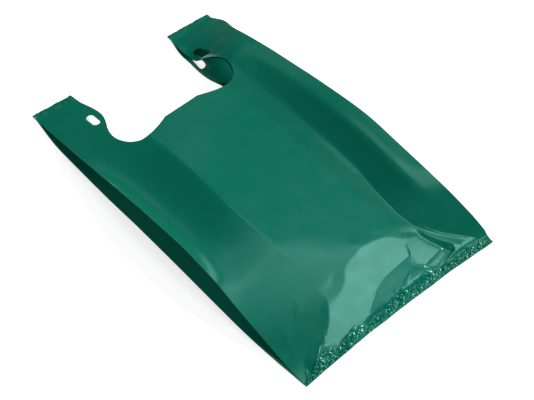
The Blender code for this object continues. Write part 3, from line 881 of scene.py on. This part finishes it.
def crinkle_tree(material):
    """Geometry Nodes that crumple the film along the bottom weld and the handle welds."""
    tree = bpy.data.node_groups.new("weld_crinkles", "GeometryNodeTree")
    for name, way, kind in (("Geometry", "INPUT", "Geometry"), ("Height", "INPUT", "Float"),
                            ("Spacing", "INPUT", "Float"), ("Seed", "INPUT", "Int"),
                            ("Geometry", "OUTPUT", "Geometry")):
        tree.interface.new_socket(name, in_out=way, socket_type="NodeSocket" + kind)
    given = add_node(tree, "NodeGroupInput")
    flat = add_node(tree, "GeometryNodeInputNamedAttribute", {"data_type": "FLOAT_VECTOR"},
                    {"Name": "flat_place"})
    parts = add_node(tree, "ShaderNodeSeparateXYZ", inputs={"Vector": flat.outputs["Attribute"]})
    # The crumpled band's upper limit, in shares of CRINKLE_REACH, along the weld
    across = add_node(tree, "ShaderNodeMath", {"operation": "DIVIDE"}, {
        0: parts.outputs["X"], 1: BAG_WIDTH})
    limit = add_node(tree, "ShaderNodeFloatCurve", inputs={"Value": across.outputs[0]})
    points = limit.mapping.curves[0].points
    places = [(u * MM / BAG_WIDTH, reach * MM / CRINKLE_REACH) for u, reach in CRINKLE_LIMIT]
    points[0].location, points[1].location = places[0], places[-1]
    for place in places[1:-1]:
        points.new(*place)
    limit.mapping.update()
    values = {"u": parts.outputs["X"], "v": parts.outputs["Y"], "share": parts.outputs["Z"],
              "height": given.outputs["Height"], "spacing": given.outputs["Spacing"],
              "seed": given.outputs["Seed"], "limit": limit.outputs[0]}

    # Ridged noise on axes that lie aslant to the weld, how far up the bag it can be felt, and the
    # weld's ragged edge. Each step gives its name, operation and terms, and a term that names a
    # step or an input stands for its value. The terms of noise are its scale and distortion.
    steps = [
        ("u moved", "MULTIPLY_ADD", "seed", 0.37, "u"), ("along", "MULTIPLY", "u moved", 0.3),
        ("aslant", "MULTIPLY_ADD", "u moved", -0.25, "v"), ("frequency", "DIVIDE", 1.0, "spacing"),
        ("fine frequency", "MULTIPLY", "frequency", 2.1), ("wander", "NOISE", 90.0, 0.0)]
    for name, frequency, distortion, strength in (("crumples", "frequency", 1.1, 5.0),
                                                  ("fine crumples", "fine frequency", 0.6, 2.0)):
        steps += [(name, "NOISE", frequency, distortion), (name, "SUBTRACT", name, 0.5),
                  (name, "ABSOLUTE", name), (name, "MULTIPLY", name, strength)]
    steps += [
        ("reach", "MULTIPLY", "limit", CRINKLE_REACH),
        ("vary", "MULTIPLY_ADD", "wander", 0.9, 0.55), ("reach", "MULTIPLY", "reach", "vary"),
        ("below", "DIVIDE", "v", "reach"), ("below", "SUBTRACT", 1.0, "below"),
        ("above", "SUBTRACT", BAG_LENGTH, "v"), ("above", "DIVIDE", "above", TOP_CRINKLE_REACH),
        ("above", "SUBTRACT", 1.0, "above"), ("above", "MULTIPLY", "above", 0.6),
        ("near", "MAXIMUM", "below", "above"), ("near", "MULTIPLY", "near", 3.5),
        ("near", "MAXIMUM", "near", 0.0), ("near", "MINIMUM", "near", 1.0),
        ("lift", "ADD", "crumples", "fine crumples"), ("lift", "MULTIPLY", "lift", "height"),
        ("lift", "MULTIPLY", "lift", "near"), ("lift", "MULTIPLY", "lift", "share"),
        ("edge", "DIVIDE", "v", BOTTOM_WELD), ("edge", "SUBTRACT", 1.0, "edge"),
        ("edge", "MAXIMUM", "edge", 0.0), ("ragged", "SUBTRACT", "wander", 0.5),
        ("ragged", "MULTIPLY", "ragged", 0.0015), ("ragged", "MULTIPLY", "ragged", "edge")]
    for name, operation, *terms in steps:
        terms = [values.get(term, term) for term in terms]
        if operation == "NOISE":
            place = add_node(tree, "ShaderNodeCombineXYZ",
                             inputs={"X": values["aslant"], "Y": values["along"]})
            node = add_node(tree, "ShaderNodeTexNoise", {"noise_dimensions": "2D"}, {
                "Vector": place.outputs[0], "Scale": terms[0], "Detail": 1.0,
                "Distortion": terms[1]})
        else:
            node = add_node(
                tree, "ShaderNodeMath", {"operation": operation}, dict(enumerate(terms)))
        values[name] = node.outputs[0]
    offset = add_node(tree, "ShaderNodeCombineXYZ",
                      inputs={"Y": values["ragged"], "Z": values["lift"]})
    moved = add_node(tree, "GeometryNodeSetPosition",
                     inputs={"Geometry": given.outputs["Geometry"], "Offset": offset.outputs[0]})
    real = add_node(tree, "GeometryNodeRealizeInstances", inputs={"Geometry": moved.outputs[0]})
    painted = add_node(tree, "GeometryNodeSetMaterial",
                       inputs={"Geometry": real.outputs[0], "Material": material})
    add_node(tree, "NodeGroupOutput", inputs={"Geometry": painted.outputs[0]})
    return tree


class BAG_OT_film(bpy.types.Operator):
    """Build the bag's film, with its folds, wrinkles and crinkled welds."""
    bl_idname = "carrier_bag.film"
    bl_label = "Bag film"

    def execute(self, context):
        sizes = context.scene.bag_sizes
        material = film_material(context.scene.bag_look)
        draft = add_object("film_draft", film_mesh(sizes))
        modifier = draft.modifiers.new("crinkles", "NODES")
        modifier.node_group = crinkle_tree(material)
        wanted = {"Height": sizes.crinkle_height, "Spacing": sizes.crinkle_spacing, "Seed": 4}
        for item in modifier.node_group.interface.items_tree:
            if item.in_out == "INPUT" and item.name in wanted:
                modifier[item.identifier] = wanted[item.name]
        depsgraph = context.evaluated_depsgraph_get()
        mesh = bpy.data.meshes.new_from_object(draft.evaluated_get(depsgraph))
        bpy.data.objects.remove(draft)
        mesh.name = "bag_film"
        mesh.shade_smooth()
        mesh.set_sharp_from_angle(angle=math.radians(60))
        bag = add_object("bag_film", mesh)
        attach(bag, "root")
        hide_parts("bag")
        return {"FINISHED"}


class BAG_OT_stage(bpy.types.Operator):
    """Lay the white floor, set the lamps and the world, and place the camera."""
    bl_idname = "carrier_bag.stage"
    bl_label = "Stage"

    def execute(self, context):
        scene = context.scene
        floor_mesh = bpy.data.meshes.new("floor")
        corners = [(x * FLOOR_REACH, y * FLOOR_REACH, -FLOOR_DEPTH)
                   for x, y in ((-1, -1), (1, -1), (1, 1), (-1, 1))]
        floor_mesh.from_pydata(corners, [], [(0, 1, 2, 3)])
        floor = add_object("floor", floor_mesh)
        # Matt white paper, seen as a near white by the camera and in reflections
        material = bpy.data.materials.new("white_paper_sweep")
        material.use_nodes = True
        tree = material.node_tree
        shader = tree.nodes["Principled BSDF"]
        shader.inputs["Base Color"].default_value = (*scene.bag_look.floor_colour, 1)
        shader.inputs["Roughness"].default_value = 0.9
        shader.inputs["Specular IOR Level"].default_value = 0.0
        shader.inputs["Emission Color"].default_value = (1, 1, 1, 1)
        path = add_node(tree, "ShaderNodeLightPath")
        seen = path.outputs["Is Camera Ray"]
        for operation, term in (("MAXIMUM", path.outputs["Is Glossy Ray"]),
                                ("MAXIMUM", path.outputs["Is Transmission Ray"]),
                                ("MULTIPLY", FLOOR_GLOW)):
            seen = add_node(
                tree, "ShaderNodeMath", {"operation": operation}, {0: seen, 1: term}).outputs[0]
        tree.links.new(seen, shader.inputs["Emission Strength"])
        floor_mesh.materials.append(material)

        world = bpy.data.worlds.new("studio")
        scene.world = world
        world.use_nodes = True
        background = world.node_tree.nodes["Background"]
        background.inputs["Color"].default_value = (1, 1, 1, 1)
        background.inputs["Strength"].default_value = ROOM_LIGHT

        def lamp(name, kind, direction, **settings):
            """A lamp that is aimed at the lower half of the bag from a direction."""
            data = bpy.data.lights.new(name, kind)
            for key, value in settings.items():
                setattr(data, key, value)
            light = add_object(name, data)
            way = Vector(direction).normalized()
            depth = (Vector((0, 1, 0)) - way * way.y).normalized()
            light.location = LIT_PLACE + way * LAMP_DISTANCE
            turn_to(light, depth.cross(way), depth, way)

        def sun(name, direction, share, angle):
            """A lamp that lights a level surface with this share of white."""
            up = Vector(direction).normalized().z
            lamp(name, "SUN", direction, energy=share * math.pi / up, angle=math.radians(angle))

        def panel(name, direction, width, depth, radiance):
            """A lit panel whose power is its radiance x pi x area."""
            lamp(name, "AREA", direction, shape="RECTANGLE", size=width, size_y=depth,
                 energy=radiance * math.pi * width * depth)

        sun("key", (0.86, -0.10, 0.50), 0.535, 20)
        sun("fill", (-0.75, -0.35, 0.56), 0.16, 50)
        panel("softbox", (0.47, -0.09, 0.88), 0.74, 0.60, 6.6)
        panel("overhead", (0.365, 0.14, 0.92), 0.96, 1.16, 0.8)
        panel("overhead_heart", (0.365, 0.165, 0.92), 0.76, 0.80, 0.9)
        panel("left_panel", (0.28, 0.37, 0.885), 0.90, 0.90, 1.1)
        panel("rear_panel", (0.38, 0.70, 0.60), 0.80, 0.60, 0.35)
        panel("edge_strip", (0.68, 0.37, 0.63), 0.70, 0.90, 2.4)

        camera_data = bpy.data.cameras.new("camera")
        camera_data.sensor_width = 36.0
        camera_data.lens = 85.08
        camera = scene.camera = add_object("camera", camera_data)
        eye, target = Vector((-0.638530, -0.831424, 1.232)), Vector((-0.007030, -0.042424, 0.0))
        roll = math.radians(-2.7)
        ahead = (target - eye).normalized()
        across = ahead.cross(Vector((0, 0, 1))).normalized()
        up = across.cross(ahead)
        tilted_across = across * math.cos(roll) + up * math.sin(roll)
        tilted_up = up * math.cos(roll) - across * math.sin(roll)
        turn_to(camera, tilted_across, tilted_up, -ahead)
        camera.location = eye
        scene.view_settings.view_transform = "Standard"
        return {"FINISHED"}


class BAG_PT_panel(bpy.types.Panel):
    """Carrier bag tools."""
    bl_idname = "BAG_PT_panel"
    bl_label = "Carrier bag"
    bl_space_type = "VIEW_3D"
    bl_region_type = "UI"
    bl_category = "Carrier bag"

    def draw(self, context):
        for group in (context.scene.bag_sizes, context.scene.bag_look):
            for name in group.__annotations__:
                self.layout.prop(group, name)
        self.layout.operator(BAG_OT_film.bl_idname)
        self.layout.operator(BAG_OT_stage.bl_idname)


CLASSES = (BagSizes, BagLook, BAG_OT_film, BAG_OT_stage, BAG_PT_panel)


def register():
    for cls in CLASSES:
        bpy.utils.register_class(cls)
    bpy.types.Scene.bag_sizes = PointerProperty(type=BagSizes)
    bpy.types.Scene.bag_look = PointerProperty(type=BagLook)


def unregister():
    del bpy.types.Scene.bag_look
    del bpy.types.Scene.bag_sizes
    for cls in reversed(CLASSES):
        bpy.utils.unregister_class(cls)


def main():
    register()
    bpy.ops.carrier_bag.film()
    bpy.ops.carrier_bag.stage()


if __name__ == "__main__":
    main()
